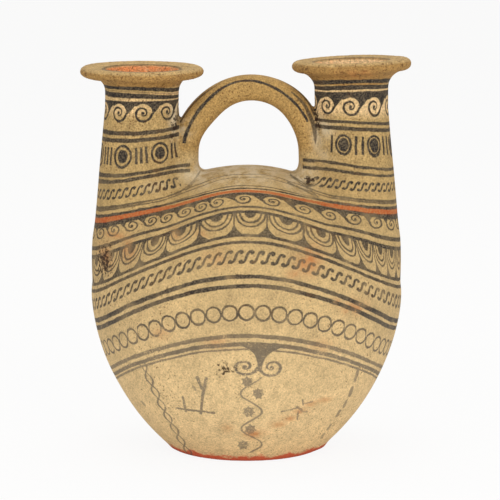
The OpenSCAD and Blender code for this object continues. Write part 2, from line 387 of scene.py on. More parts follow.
# Rows on the necks: name, then for each neck the height at the front, the rise toward the handle and the bow.
# The left neck's front heights serve both necks as the rows' own heights.
neckRows = [
    ("foot", (165.0, 6.0, 0.0), (172.0, 3.0, 0.0)),
    ("running dog", (189.5, 6.1, 0.6), (192.7, 2.6, -0.7)),
    ("lower line", (198.3, 4.5, -1.4), (201.9, 3.4, -1.7)),
    ("second line", (201.7, 3.9, 0.2), (207.0, 3.9, -1.7)),
    ("rings", (214.1, 2.3, 0.0), (221.4, 0.4, 0.0)),
    ("third line", (224.9, 2.1, 0.3), (232.5, 1.7, -1.6)),
    ("fourth line", (229.9, 1.8, 0.0), (237.3, 1.6, -1.6)),
    ("under the spirals", (237.0, 1.0, 0.0), (241.1, 1.6, -0.8)),
    ("spirals", (243.5, 0.3, 0.0), (247.7, 0.7, 0.0)),
    ("over the spirals", (250.1, 0.2, -0.4), (254.6, 0.0, -0.6)),
    ("field", (251.9, 0.2, -0.7), (258.9, -0.6, -1.2)),
    ("thick line", (255.4, -1.9, -0.7), (261.7, -0.7, -2.1)),
    ("top line", (260.8, -1.2, -1.6), (265.9, -0.7, -2.5)),
    ("lip", (274.0, 0.0, 0.0), (280.0, 0.0, 0.0)),
]
ringTurns = {-1: (-25.5, 29.8), 1: (-14.0, 32.0)}  # where two neighbouring rings stand, from the front
neckSpiralTurns = {-1: 5.0, 1: -5.0}
neckSpiralPitch = 40.0
dogPitch = 360 / 37
# rings stop this many degrees short of the handle, and the running dog this far from the middle, where neck
# and shoulder run together
ringGaps = {-1: 27, 1: 49}
dogStarts = {-1: 45.5, 1: 41}


def neckMarks(x, y, z, side):
    turn = np.degrees(np.arctan2(x - side * neckForm["axis"], -y))
    toward = -side * np.sin(np.radians(turn))
    rows = [row[1 if side < 0 else 2] for row in neckRows]
    own = [row[1][0] for row in neckRows]
    places = [front + rise * toward + bow * toward ** 2 for front, rise, bow in rows]
    height = own[0] + z - places[0]
    for low, high, ownLow, ownHigh in zip(places, places[1:], own, own[1:]):
        part = (z - low) / np.maximum(high - low, 0.2)
        height = np.where(z > low, ownLow + part * (ownHigh - ownLow), height)
    fromOuter = (turn - side * 90 + 180) % 360 - 180  # so that the break lies under the handle
    first, second = ringTurns[side]
    front = fromOuter + side * 90
    ring = (front - second) / (second - first)
    spiral = (front - neckSpiralTurns[side]) / neckSpiralPitch
    ringShare = ease((180 - np.abs(fromOuter) - ringGaps[side]) / 3)
    dogShare = ease((np.abs(x) - dogStarts[side]) / 1.5)
    return height, spiral, ring, fromOuter / dogPitch, ringShare, dogShare


# The strap's painted lines: how far out on the front edge, and how far across the top
archLines = {
    "edgeOut": 1.5, "edgeMore": 4.9, "edgeMiddle": -9, "edgeReach": 33, "edgeEnds": (-80, 60),
    "legTurns": [34, 47, 58, 70, 80, 90], "legOut": [6.4, 5.9, 4.9, 4.2, 3.8, 5.0],
    "topTurns": [-75, -30, -15, 0, 12, 21, 37, 48, 60],
    "topAcross": [-6.5, -6.5, -1, 4, 3, 0, -2.8, -5.4, -8],
}
# Stains, and painted shade in the crevice at the right strap's joint with its neck: kind, across, height,
# reach across, reach up, strength
stainsAndShade = [
    ("grey", -33, 200, 14, 8, 1.0), ("grey", -2, 201, 36, 8, 0.8), ("grey", 38, 197, 12, 8, 0.9),
    ("grey", -51, 238, 3.5, 14, 1.0), ("grey", -44, 231, 6, 7, 0.7), ("grey", 50, 226, 4, 12, 0.8),
    ("grey", 54, 232, 7, 7, 0.9), ("grey", -64, 192, 9, 4, 0.4), ("grey", 55, 214, 8, 6, 0.4),
    ("rust", -83, 150, 5, 8, 0.9), ("rust", -99, 143, 5, 9, 0.8), ("rust", -49, 164, 4, 3.5, 1.0),
    ("rust", 42.6, 147.6, 9, 9, 1.05), ("rust", -92, 158, 9, 3, 0.7), ("rust", 5.5, 24.2, 7, 3.5, 1.0),
    ("rust", 21.8, 31.5, 5, 2.4, 0.9), ("rust", 29.8, 36, 5, 2.2, 0.9), ("rust", 37.9, 41, 5, 2.2, 0.9),
    ("rust", 46, 45.6, 5, 2, 0.9), ("rust", 54, 47.5, 5, 1.8, 0.8), ("rust", -14, 29, 4, 3, 0.8),
    ("rust", -60, 96, 7, 4, 0.5), ("rust", -30, 165, 6, 3, 0.4), ("rust", -20, 92, 10, 4, 0.5),
    ("rust", 75, 113, 8, 5, 0.9), ("rust", 62, 118.3, 3, 2.5, 0.9), ("rust", 33.5, 138.4, 6, 4, 0.6),
    ("rust", 77, 272, 12, 4, 0.5), ("rust", -20, 150, 10, 7, 0.35), ("rust", 52, 88, 9, 5, 0.4),
    ("sootAndShade", -100, 139, 6, 13, 1.0), ("sootAndShade", -14.4, 73.3, 6, 4.4, 1.1), ("sootAndShade", -8, 75.5, 3, 1.5, 0.9),
    ("sootAndShade", -49.5, 238, 2.2, 5, 1.1), ("sootAndShade", -51, 232, 2.5, 4, 1.1), ("sootAndShade", -53, 226, 2, 3, 0.9),
    # the two dark patches along the right strap's edge are painted shade in the crevice between strap and
    # neck
    ("sootAndShade", 49.6, 239, 1.7, 6, 1.1), ("sootAndShade", 51.2, 232, 1.2, 5, 1.1),
    ("sootAndShade", 43.4, 194.7, 2.2, 2.8, 1.5), ("sootAndShade", 46.9, 195.5, 2.2, 1.6, 1.3),
    ("sootAndShade", -104, 120, 4, 6, 0.4), ("sootAndShade", 79, 272, 5, 2.2, 0.6), ("sootAndShade", 70, 271.5, 3, 1.5, 0.5),
]


def stainAndShadeAmounts(x, y, z):
    amounts = {"grey": 0 * x, "rust": 0 * x, "sootAndShade": 0 * x}
    behind = 1 - 0.75 * ease(y / 30)  # accidents of the front fade out toward the back
    for kind, across, up, reachAcross, reachUp, strength in stainsAndShade:
        spot = ((x - across) / reachAcross) ** 2 + ((z - up) / reachUp) ** 2
        amounts[kind] = np.maximum(amounts[kind], strength * np.exp(-spot) * behind)
    return amounts["grey"], amounts["rust"], amounts["sootAndShade"]


def readOut(items, field, width=1, kind=np.float32):
    values = np.empty(len(items) * width, kind)
    items.foreach_get(field, values)
    return values.reshape(-1, width) if width > 1 else values


def paintMarks(mesh, places, centres, loopVertex, loopFace, normals):
    x, y, z = places.T
    ovalWide, ovalDeep = oval["wide"], oval["deep"]
    turn = np.arctan2(x / ovalWide, -y / ovalDeep)
    band = bandHeight(x, y, z)
    near = np.minimum(band, 203)
    grow = surfaceHeight(near + 0.5, x, y) - surfaceHeight(near - 0.5, x, y)
    grow = np.where(band > 203.5, 1, np.maximum(grow, 0.2))
    perX = surfaceHeight(near, x + 0.5, y) - surfaceHeight(near, x - 0.5, y)
    perY = surfaceHeight(near, x, y + 0.5) - surfaceHeight(near, x, y - 0.5)
    bandSlope = np.stack([-perX / grow, -perY / grow, 1 / grow], 1)
    around = (x / ovalWide) ** 2 + (y / ovalDeep) ** 2 + 1e-6
    turnSlope = [-y / ovalDeep / (ovalWide * around), x / ovalWide / (ovalDeep * around), 0 * x]
    turnSlope = np.stack(turnSlope, 1)
    bandSlope -= normals * (bandSlope * normals).sum(1)[:, None]
    turnSlope -= normals * (turnSlope * normals).sum(1)[:, None]
    steep = np.linalg.norm(bandSlope, axis=1)
    spread = 1 / np.clip(steep, 0.28, 3)  # millimetres on the surface per unit of band height
    up = bandSlope / np.maximum(steep, 1e-3)[:, None]
    along = np.cross(up, normals)
    perAlong = np.maximum((turnSlope * along).sum(1), 2e-4)
    skew = np.clip((turnSlope * up).sum(1) / perAlong, -1.2, 1.2)
    degrees = np.degrees(turn)
    middle = np.degrees(np.arctan2(centres[:, 0] / ovalWide, -centres[:, 1] / ovalDeep))[loopFace]
    cornerTurn = middle + (degrees[loopVertex] - middle + 180) % 360 - 180
    spiralStep = np.interp(degrees, spiralTurn, spiralPitches)
    spiralWide = np.clip(0.5 * np.radians(spiralStep) / perAlong + 8.3, 14, 22)
    pick = x > 0
    sides = zip(neckMarks(x, y, z, -1), neckMarks(x, y, z, 1))
    both = [np.where(pick, right, left) for left, right in sides]
    neckHeight, neckSpiral, ring, dog, ringShare, dogShare = both
    arch, archTurn = archPlace(x, z)
    a = archLines
    edge = arch - a["edgeOut"] - a["edgeMore"] * np.exp(-((archTurn - a["edgeMiddle"]) / a["edgeReach"]) ** 2)
    edgeShare = 1 - ease(np.maximum(a["edgeEnds"][0] - archTurn, archTurn - a["edgeEnds"][1]) / 4)
    # lines keep their width where the surface turns away from the arch's own measure
    archSlope = slopeOf(lambda *place: archPlace(place[0], place[2])[0], np.stack([x, y, z], 1))
    along = np.sqrt(np.maximum(1 - (archSlope * normals).sum(1) ** 2, 0.09))
    widthways = np.sqrt(np.maximum(1 - normals[:, 1] ** 2, 0.09))
    edge /= along * (1 + 0.45 * ease((-archTurn - 15) / 25))
    leg = (arch - np.interp(archTurn, a["legTurns"], a["legOut"])) / along
    leg /= 0.35 + 0.65 * ease((archTurn - 32) / 22)
    legShare = ease((archTurn - 30) / 6)
    top = (y - np.interp(archTurn, a["topTurns"], a["topAcross"])) / widthways
    top /= 0.2 + 0.8 * ease((np.abs(archTurn - 1) - 20) / 24)
    topShare = ease((arch - 4) / 2) * ease((np.abs(archTurn - 1) - 18) / 5)
    hidden = innerForm(x, y, z) < 2.0
    deep = np.zeros_like(x)
    out = np.zeros_like(x)
    for one in (leftNeck, rightNeck):
        away, height = neckPlace(x, y, z, one)
        mine = x * one["side"] > 0
        out = np.where(mine, away, out)
        deep = np.where(mine, height - one["rimTop"], deep)
        hidden &= ~((away > one["mouth"] - 0.6) & (height > one["rimTop"] - 4))
    plain = neckForm["radius"] + neckForm["taper"] * np.maximum(neckForm["straightFrom"] - z, 0)
    ownNeck = 1 - ease((out - plain - 0.5) / 1.6)
    rooted = ease((np.abs(x) - 38.5) / 2.5)
    share = rooted + (ownNeck - rooted) * ease((neckHeight - 217) / 4)
    share = np.where((z > 247) & (np.abs(x) > 44.5), 1, share)
    onStrap = (1 - ease((handleForm(x, y, z) - 0.6) / 1.2)) * ease((z - 212) / 6)
    grey, rust, sootAndShade = stainAndShadeAmounts(x, y, z)
    at = loopVertex
    marks = {
        "bandPlace": (band[at], spread[at], skew[at]),
        "bandCounts": (
            countAt(cornerTurn, spiralTurn, spiralCount),
            countAt(cornerTurn, tongueTurn, tongueCount),
            countAt(cornerTurn, waveTurn, waveCount, round(waveTotal / wavePitch)),
        ),
        "bandMore": (cornerTurn / chainPitch, spiralWide[at], hidden[at]),
        "neckPlace": (neckHeight[at], neckSpiral[at], ring[at]),
        "neckMore": (dog[at], share[at], pick[at]),
        "neckEnds": (ringShare[at], dogShare[at], 0.0 * at),
        "handlePlace": (edge[at], leg[at], top[at]),
        "handleEnds": (edgeShare[at], legShare[at], topShare[at]),
        "rimPlace": (out[at], deep[at], onStrap[at]),
        "stainAndShadePlace": (grey[at], rust[at], sootAndShade[at]),
    }
    for name, values in marks.items():
        data = mesh.attributes.new(name, "FLOAT_VECTOR", "CORNER").data
        data.foreach_set("vector", np.stack(values, 1).astype(np.float32).ravel())


# Cutting the one surface where the potter's parts meet, so that no seam shows

seams = {
    "floor": 8.0, "belt": 112.0, "seat": 206.0, "leftRim": 261.0, "rightRim": 263.0,  # heights
    "root": 46.5, "rimEdge": 28.0,  # distances from the middle
}
faceCentres = points[quads].mean(1)


def looseGroups(work):
    # faces that hang together
    seen = set()
    for face in work.faces:
        if face in seen:
            continue
        group, todo = [], [face]
        seen.add(face)
        while todo:
            one = todo.pop()
            group.append(one)
            for other in (other for edge in one.edges for other in edge.link_faces):
                if other not in seen:
                    seen.add(other)
                    todo.append(other)
        yield group


def cutPiece(name, planes, node, slot, keepNear=None):
    # each plane is (axis, place, side kept)
    keep = np.ones(len(quads), bool)
    for axis, place, side in planes:
        keep &= (faceCentres[:, axis] - place) * side > -5
    used, faces = np.unique(quads[keep], return_inverse=True)
    faces = faces.reshape(-1, 4)
    mesh = bpy.data.meshes.new(name)
    mesh.from_pydata((points[used] / 1000).tolist(), [], faces.tolist())
    work = bmesh.new()
    work.from_mesh(mesh)
    capLayer = work.faces.layers.int.new("cap")
    for number, (axis, place, side) in enumerate(planes):
        across = [0, 0, 0]
        across[axis] = -side
        spot = [0, 0, 0]
        spot[axis] = place / 1000
        everything = work.verts[:] + work.edges[:] + work.faces[:]
        cut = bmesh.ops.bisect_plane(work, geom=everything, plane_co=spot, plane_no=across, clear_outer=True)
        edges = [e for e in cut["geom_cut"] if isinstance(e, bmesh.types.BMEdge)]
        if edges:
            filled = bmesh.ops.triangle_fill(work, edges=edges, use_beauty=False, normal=across)
            for face in filled["geom"]:
                if isinstance(face, bmesh.types.BMFace):
                    face[capLayer] = number + 1
                    if face.normal.dot(Vector(across)) < 0:
                        face.normal_flip()
    if keepNear:
        # what another part's rim leaves inside this cut goes
        drop = []
        for group in looseGroups(work):
            centre = sum((f.calc_center_median() for f in group), Vector()) / len(group)
            if not keepNear(centre * 1000):
                drop += group
        bmesh.ops.delete(work, geom=drop, context="FACES")
    work.to_mesh(mesh)
    caps = np.array([f[capLayer] for f in work.faces])
    work.free()
    mesh.update()
    places = readOut(mesh.vertices, "co", 3).astype(float) * 1000
    normals = slopeOf(clayForm, places)
    normals /= np.maximum(np.linalg.norm(normals, axis=1), 1e-6)[:, None]
    loopVertex = readOut(mesh.loops, "vertex_index", kind=np.int32)
    loopFace = np.repeat(np.arange(len(mesh.polygons)), readOut(mesh.polygons, "loop_total", kind=np.int32))
    centres = readOut(mesh.polygons, "center", 3) * 1000
    paintMarks(mesh, places, centres, loopVertex, loopFace, normals)
    corner = normals[loopVertex]
    for number, (axis, place, side) in enumerate(planes):
        flat = np.zeros(3)
        flat[axis] = -side
        corner[caps[loopFace] == number + 1] = flat
    mesh.polygons.foreach_set("use_smooth", np.ones(len(mesh.polygons), bool))
    mesh.normals_split_custom_set(corner.tolist())
    piece = bpy.data.objects.new(name, mesh)
    bpy.context.scene.collection.objects.link(piece)
    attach(piece, "root")
    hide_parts(node)
    print("piece", name, len(mesh.polygons), "faces")
    return piece


s = seams
aboveSeat = (2, s["seat"], 1)
cuts = [  # piece, the node that it replaces, slot, planes
    ("floor_clay", "floor_disc", "body_clay", [(2, s["floor"], -1)]),
    ("bowl_clay", "lower_bowl", "body_clay", [(2, s["floor"], 1), (2, s["belt"], -1)]),
    ("shoulder_clay", "shoulder", "body_clay", [(2, s["belt"], 1), (2, s["seat"], -1)]),
    ("neck_clay_left", "neck_left", "neck_clay", [aboveSeat, (2, s["leftRim"], -1), (0, -s["root"], -1)]),
    ("neck_clay_right", "neck_right", "neck_clay", [aboveSeat, (2, s["rightRim"], -1), (0, s["root"], 1)]),
    ("rim_clay_left", "rim_left", "rim_clay", [(2, s["leftRim"], 1), (0, -s["rimEdge"], -1)]),
    ("rim_clay_right", "rim_right", "rim_clay", [(2, s["rightRim"], 1), (0, s["rimEdge"], 1)]),
    ("handle_clay", "handle", "handle_clay", [aboveSeat, (0, -s["root"], 1), (0, s["root"], -1)]),
]
# the strap's cut keeps nothing of the rims above it
onArch = {"handle_clay": lambda c: abs(c.x) < 26 or c.z < 240}
pieces = {}
for name, node, slot, planes in cuts:
    pieces[name] = cutPiece(name, planes, node, slot, keepNear=onArch.get(name))


# Nodes

def linear(code):
    # sRGB hex to the linear colour that the shaders use
    parts = [int(code[i:i + 2], 16) / 255 for i in (1, 3, 5)]
    return tuple(p / 12.92 if p <= 0.04045 else ((p + 0.055) / 1.055) ** 2.4 for p in parts) + (1.0,)


def add(tree, kind, *feeds, out=0, named=None, **settings):
    # adds one node with its settings and links; a kind in capitals is that Math operation
    made = tree.nodes.new("ShaderNodeMath" if kind.isupper() else "ShaderNode" + kind)
    if kind.isupper():
        made.operation = kind
    for key, value in settings.items():
        setattr(made, key, value)
    for socket, value in [*enumerate(feeds), *(named or {}).items()]:
        if isinstance(value, bpy.types.NodeSocket):
            tree.links.new(value, made.inputs[socket])
        else:
            made.inputs[socket].default_value = linear(value) if isinstance(value, str) else value
    return made.outputs[out]


def awayFrom(t, one, other):
    return add(t, "ABSOLUTE", add(t, "SUBTRACT", one, other))


def reachOf(t, across, up):
    # distance from the middle of a mark
    return add(t, "SQRT", add(t, "MULTIPLY_ADD", across, across, add(t, "MULTIPLY", up, up)))


def motif(name, inputs, draw):
    # a node group whose Paint output is how far inside the brush mark a point lies, in millimetres
    tree = bpy.data.node_groups.new(name, "ShaderNodeTree")
    for label in inputs:
        tree.interface.new_socket(label, in_out="INPUT", socket_type="NodeSocketFloat")
    tree.interface.new_socket("Paint", in_out="OUTPUT", socket_type="NodeSocketFloat")
    start = tree.nodes.new("NodeGroupInput")
    end = tree.nodes.new("NodeGroupOutput")
    tree.links.new(draw(tree, *[start.outputs[i] for i in range(len(inputs))]), end.inputs[0])
    return tree


# The motifs' sizes are in millimetres on the surface, and a half is half of a line's thickness
far = 50.0  # sets a line aside where it isn't wanted

curlMark = {"disc": 6.4, "coil": 3.9, "half": 0.42, "thicken": 0.08, "eye": 1.15}


def drawCurl(t, x, y):
    # brush line that curls in clockwise from the right, round a bare disc
    c = curlMark
    reach = reachOf(t, x, y)
    turn = add(t, "FRACT", add(t, "DIVIDE", add(t, "ARCTAN2", add(t, "MULTIPLY", y, -1.0), x), 2 * math.pi))
    coil = add(t, "SUBTRACT", add(t, "DIVIDE", add(t, "SUBTRACT", c["disc"], reach), c["coil"]), turn)
    lap = add(t, "MAXIMUM", add(t, "ROUND", coil), 0.0)
    off = add(t, "MULTIPLY", awayFrom(t, coil, lap), c["coil"])
    half = add(t, "MULTIPLY_ADD", reach, c["thicken"], c["half"])
    return add(t, "MAXIMUM", add(t, "SUBTRACT", half, off), add(t, "SUBTRACT", c["eye"], reach))


wedgeMark = {"start": 3.5, "spare": 9.5, "foot": -5.4, "rise": 10.1, "top": 4.9, "steepness": 0.7}


def drawSpiral(t, x, y, pitch):
    # running spiral: a dark field above, cut by round discs, with a wedge that runs down and curls in
    w = wedgeMark
    past = add(t, "MULTIPLY_ADD", add(t, "LESS_THAN", x, 0.0), pitch, x)
    edge = add(t, "DIVIDE", add(t, "SUBTRACT", past, w["start"]), add(t, "SUBTRACT", pitch, w["spare"]))
    edge = add(t, "MULTIPLY_ADD", edge, w["rise"], w["foot"])
    edge = add(t, "MAXIMUM", add(t, "MINIMUM", edge, w["top"]), w["foot"])
    field = add(t, "MULTIPLY", add(t, "SUBTRACT", y, edge), w["steepness"])
    field = add(t, "MINIMUM", field, add(t, "SUBTRACT", reachOf(t, x, y), curlMark["disc"]))
    return add(t, "MAXIMUM", field, drawCurl(t, x, y))


tongueMark = {
    "pitch": 21.0, "height": 15.0,
    "wide": 0.452, "deep": 0.62,  # the outer loop, as shares of pitch and height
    "loop": 9.5, "inner": 0.72, "heart": 0.42,  # its radius, and the shares of it further in
    "half": 0.6, "stem": 0.55, "flare": 6.5, "past": 0.3,
}


def drawTongue(t, x, up):
    # hanging tongue: filled heart, two loops, and a divider that flares into a foot; x is in pitches
    m = tongueMark
    ex = add(t, "DIVIDE", x, m["wide"])
    ey = add(t, "DIVIDE", add(t, "SUBTRACT", 1.0, up), m["deep"])
    loop = reachOf(t, ex, ey)
    best = add(t, "MULTIPLY", add(t, "SUBTRACT", m["heart"], loop), m["loop"])
    for share in (1.0, m["inner"]):
        line = add(t, "MULTIPLY_ADD", awayFrom(t, loop, share), -m["loop"], m["half"])
        best = add(t, "MAXIMUM", best, line)
    flare = add(t, "MAXIMUM", add(t, "MULTIPLY_ADD", up, -2.0, 1.0), 0.0)
    flare = add(t, "MULTIPLY_ADD", add(t, "MULTIPLY", flare, flare), m["flare"], m["stem"])
    side = add(t, "MULTIPLY", add(t, "SUBTRACT", 0.5, add(t, "ABSOLUTE", x)), m["pitch"])
    best = add(t, "MAXIMUM", best, add(t, "SUBTRACT", flare, side))
    inside = add(t, "MULTIPLY", add(t, "MINIMUM", up, add(t, "SUBTRACT", 1.0, up)), m["height"])
    return add(t, "MINIMUM", best, add(t, "ADD", inside, m["past"]))


dogMark = {
    "pitch": 7.4, "back": 1.5, "lean": 0.42, "half": 1.0,
    "hook": 1.75, "hookUp": 1.7, "hookEnd": 3.0, "tipAcross": 2.95, "tipUp": 2.85, "tip": 0.3,
}


def drawDog(t, count, y):
    # one S of the running dog row: its two halves are the same hook, turned half round
    d = dogMark
    x = add(t, "MULTIPLY_ADD", y, -d["lean"], add(t, "MULTIPLY", count, d["pitch"]))
    x = add(t, "WRAP", add(t, "MULTIPLY", x, add(t, "SIGN", y)), d["pitch"] - d["back"], -d["back"])
    up = add(t, "ABSOLUTE", y)
    hook = reachOf(t, add(t, "SUBTRACT", x, d["hook"]), add(t, "SUBTRACT", up, d["hookUp"]))
    hook = awayFrom(t, hook, d["hook"])
    stem = add(t, "MULTIPLY_ADD", add(t, "GREATER_THAN", up, d["hookUp"]), far, add(t, "ABSOLUTE", x))
    hook = add(t, "MULTIPLY_ADD", add(t, "LESS_THAN", up, d["hookUp"]), far, hook)
    hook = add(t, "MULTIPLY_ADD", add(t, "GREATER_THAN", x, d["hookEnd"]), far, hook)
    tip = reachOf(t, add(t, "SUBTRACT", x, d["tipAcross"]), add(t, "SUBTRACT", up, d["tipUp"]))
    near = add(t, "MINIMUM", add(t, "MINIMUM", hook, stem), add(t, "SUBTRACT", tip, d["tip"]))
    return add(t, "SUBTRACT", d["half"], near)


ringMark = {
    "squash": 0.84, "half": 0.78, "dot": 3.8, "barHalf": 0.92, "barReach": 5.8,
    "ring": (0.9, 5.1), "apart": (1.2, 2.3),  # how much more where there is a centre bar, and without one
}


def drawDotRing(t, x, y, half, centreBar):
    # dotted ring with upright bars between it and the next
    r = ringMark
    reach = reachOf(t, x, add(t, "MULTIPLY", y, r["squash"]))
    ring = add(t, "SUBTRACT", r["half"], awayFrom(t, reach, add(t, "MULTIPLY_ADD", centreBar, *r["ring"])))
    best = add(t, "MAXIMUM", ring, add(t, "SUBTRACT", r["dot"], reach))
    side = add(t, "SUBTRACT", half, add(t, "ABSOLUTE", x))
    middle = add(t, "MULTIPLY_ADD", add(t, "SUBTRACT", 1.0, centreBar), far, side)
    bars = add(t, "MINIMUM", middle, awayFrom(t, side, add(t, "MULTIPLY_ADD", centreBar, *r["apart"])))
    ends = add(t, "SUBTRACT", r["barReach"], add(t, "ABSOLUTE", y))
    return add(t, "MAXIMUM", best, add(t, "MINIMUM", add(t, "SUBTRACT", r["barHalf"], bars), ends))


def drawStroke(t, x, z, fromX, fromZ, toX, toZ, half):
    # one brush stroke between two points
    runX = add(t, "SUBTRACT", toX, fromX)
    runZ = add(t, "SUBTRACT", toZ, fromZ)
    gapX = add(t, "SUBTRACT", x, fromX)
    gapZ = add(t, "SUBTRACT", z, fromZ)
    dot = add(t, "MULTIPLY_ADD", gapX, runX, add(t, "MULTIPLY", gapZ, runZ))
    size = add(t, "MULTIPLY_ADD", runX, runX, add(t, "MULTIPLY", runZ, runZ))
    part = add(t, "DIVIDE", dot, size, use_clamp=True)
    offX = add(t, "SUBTRACT", gapX, add(t, "MULTIPLY", runX, part))
    offZ = add(t, "SUBTRACT", gapZ, add(t, "MULTIPLY", runZ, part))
    return add(t, "SUBTRACT", half, reachOf(t, offX, offZ))


dabMark = {"strokes": 7, "turned": 10.0, "half": 0.55, "reach": 4.3, "core": 3.4}


def drawRosette(t, x, z):
    # round dab with a ragged edge of short strokes
    d = dabMark
    reach = reachOf(t, x, z)
    turn = add(t, "PINGPONG", add(t, "ADD", add(t, "ARCTAN2", z, x), d["turned"]), math.pi / d["strokes"])
    off = add(t, "MULTIPLY", add(t, "SINE", turn), reach)
    dabs = add(t, "MINIMUM", add(t, "SUBTRACT", d["half"], off), add(t, "SUBTRACT", d["reach"], reach))
    return add(t, "MAXIMUM", dabs, add(t, "SUBTRACT", d["core"], reach))


vineMark = {
    "crest": 42.6, "length": 27, "swing": 7.3, "middle": 3.6, "half": 0.65, "thin": 0.45,
    "top": 68.0, "bottom": 8.0,
}


def drawVine(t, x, z):
    # stem that winds down the front between the dabs, thinner where it turns back
    v = vineMark
    phase = add(t, "MULTIPLY", add(t, "SUBTRACT", z, v["crest"]), 2 * math.pi / v["length"])
    off = awayFrom(t, add(t, "MULTIPLY_ADD", add(t, "COSINE", phase), -v["swing"], x), v["middle"])
    lean = add(t, "MULTIPLY_ADD", add(t, "ABSOLUTE", add(t, "SINE", phase)), -v["thin"], 1.0)
    stem = add(t, "SUBTRACT", v["half"], add(t, "MULTIPLY", off, lean))
    ends = add(t, "MINIMUM", add(t, "SUBTRACT", v["top"], z), add(t, "SUBTRACT", z, v["bottom"]))
    return add(t, "MINIMUM", stem, ends)


funnelMark = {
    "top": 90.5, "height": 18.0, "middle": 9.2, "half": 1.1,
    "right": (-4.6, 21.0), "left": (-3.6, -13.0),  # drop over which each edge draws in, and its reach
}


def drawFunnel(t, x, z):
    # dark funnel that hangs from the lowest lines and feeds the two curls
    f = funnelMark
    drop = add(t, "SUBTRACT", f["top"], z)
    right, left = [
        add(t, "MULTIPLY", add(t, "EXPONENT", add(t, "DIVIDE", drop, narrows)), wide)
        for narrows, wide in (f["right"], f["left"])
    ]
    middle = add(t, "SUBTRACT", x, f["middle"])
    inside = add(t, "MINIMUM", add(t, "SUBTRACT", right, middle), add(t, "SUBTRACT", middle, left))
    ends = add(t, "MINIMUM", drop, add(t, "SUBTRACT", f["height"], drop))
    return add(t, "MINIMUM", add(t, "ADD", inside, f["half"]), ends)


plaitMark = {"cross": 9.5, "swing": 2.1, "half": 0.6, "top": 74.0}


def drawPlait(t, run, z):
    # two strands that cross and part down the flank
    p = plaitMark
    swing = add(t, "MULTIPLY", add(t, "SINE", add(t, "MULTIPLY", z, math.pi / p["cross"])), p["swing"])
    off = awayFrom(t, add(t, "ABSOLUTE", run), add(t, "ABSOLUTE", swing))
    return add(t, "MINIMUM", add(t, "SUBTRACT", p["half"], off), add(t, "SUBTRACT", p["top"], z))


motifs = {
    "curl": motif("Curl", ["X", "Y"], drawCurl),
    "spiral": motif("Running spiral", ["X", "Y", "Pitch"], drawSpiral),
    "tongue": motif("Hanging tongue", ["X", "Up"], drawTongue),
    "dog": motif("Running dog", ["Count", "Y"], drawDog),
    "dotRing": motif("Dotted ring and bars", ["X", "Y", "Half pitch", "Centre bar"], drawDotRing),
    "stroke": motif("Brush stroke", ["X", "Z", "From X", "From Z", "To X", "To Z", "Half width"], drawStroke),
    "rosette": motif("Ragged dab", ["X", "Z"], drawRosette),
    "vine": motif("Winding stem", ["X", "Z"], drawVine),
    "funnel": motif("Funnel", ["X", "Z"], drawFunnel),
    "plait": motif("Plait", ["Run", "Z"], drawPlait),
}
print("motifs drawn:", len(motifs))

# Slips and clay

slip = {
    "dark": "#282320", "darkWorn": "#766750", "brown": "#5f4022", "red": "#b65427", "redWorn": "#bd7a46",
    "baseRed": "#cf4526", "lowGrey": "#75706a",
    "edge": 0.5,  # millimetres over which a brush mark fades out
    "waver": 0.6,  # how far the hand strays, in millimetres
    "straying": 2.6, "shaking": 1.6,  # shares of the slow and the quick unsteadiness in that
}
clay = {
    # the low colour is paler than the clay itself: painted light against the shade low on the body
    "low": "#e6c998", "high": "#b99a64", "lowFrom": 0.0, "highFrom": 190.0,
    # throatPaintedLight is a paler clay for inside the mouths: painted light against the shade in the throats
    "strap": "#ae894e", "rimTop": "#c3a36d", "rimLip": "#a57d44", "mouth": "#da8c56", "throatPaintedLight": "#f3d09c",
    # sootAndShade colours burnt crust, and also the painted shade in the crevice beside the right strap
    "speck": "#694524", "grey": "#dccdae", "rust": "#bd7540", "sootAndShade": "#2c190e", "fleck": "#5a371b",
    "roughness": 0.86, "specular": 0.28, "bump": 0.7, "bumpHeight": 0.0007,
}
# Grain of the fired clay and of brushed slip: size in millimetres, detail, roughness
grains = {
    "slow": (28, 1.0, 0.55), "quick": (5, 2.0, 0.55),  # the hand's straying and shaking
    "load": (7, 3.0, 0.6), "fray": (0.95, 3.0, 0.75),  # brush load along a stroke, and the grain at its edge
    "drift": (44, 3.0, 0.55), "mottle": (8, 5.0, 0.65), "sand": (1.3, 3.0, 0.8), "speck": (1.5, 2.0, 0.6),
    "fleck": (3.6, 3.0, 0.7), "crumb": (2.3, 3.0, 0.7),
    "rub": (13, 4.0, 0.6), "speckle": (1.15, 3.0, 0.8), "thin": (17, 2.0, 0.55),  # wear of the slip
}
# How a measure becomes an amount from 0 to 1: gain and offset
ramps = {
    "upper": (0.04, -7.6), "low": (-0.02, 2.4), "insideMouth": (-1.2, 32.0), "belowRim": (-0.8, -0.9),
    "inThroat": (0.12, 2.2), "fleck": (10.0, -5.7), "thin": (5.0, -2.9),
    "film": (5.0, -1.85), "crust": (3.5, -1.1),
}

bodyLines = [  # band height, drop at the flanks, thickness, more at the flanks, strength
    (199.9, 0, 0.9, 1.3, 0.85), (198.4, 0, 0.8, 1.0, 0.8), (194.3, 1.2, 1.2, -1.2, 0.8),
    (192.9, -1.4, 1.5, 0.9, 1.0), (190.0, 1.1, 1.8, 0.6, 1.0), (182.0, 0, 1.9, 1.1, 0.95),
    (179.2, 0, 2.5, 0.3, 1.0), (164.5, 0, 2.3, 0, 0.95), (160.3, 0, 2.3, 0.3, 0.95),
    (138.2, 0, 2.9, 0.5, 1.0), (131.9, 0, 2.9, 0.3, 1.0), (97.3, 0, 2.9, -0.3, 0.78),
    (91.6, 0, 2.9, -0.2, 0.84), (88.0, 0, 1.3, 0.5, 0.76),
]
neckLines = [  # height, thickness on the left neck, more on the right neck, strength
    (260.8, 2.7, 0.5, 1.0), (258.2, 0.7, -0.7, 0.4), (255.4, 3.2, 1.1, 1.0), (229.9, 3.0, 0, 0.95),
    (224.9, 2.9, 0, 0.95), (201.7, 2.4, -0.8, 0.95), (198.2, 2.6, -0.9, 0.95),
]
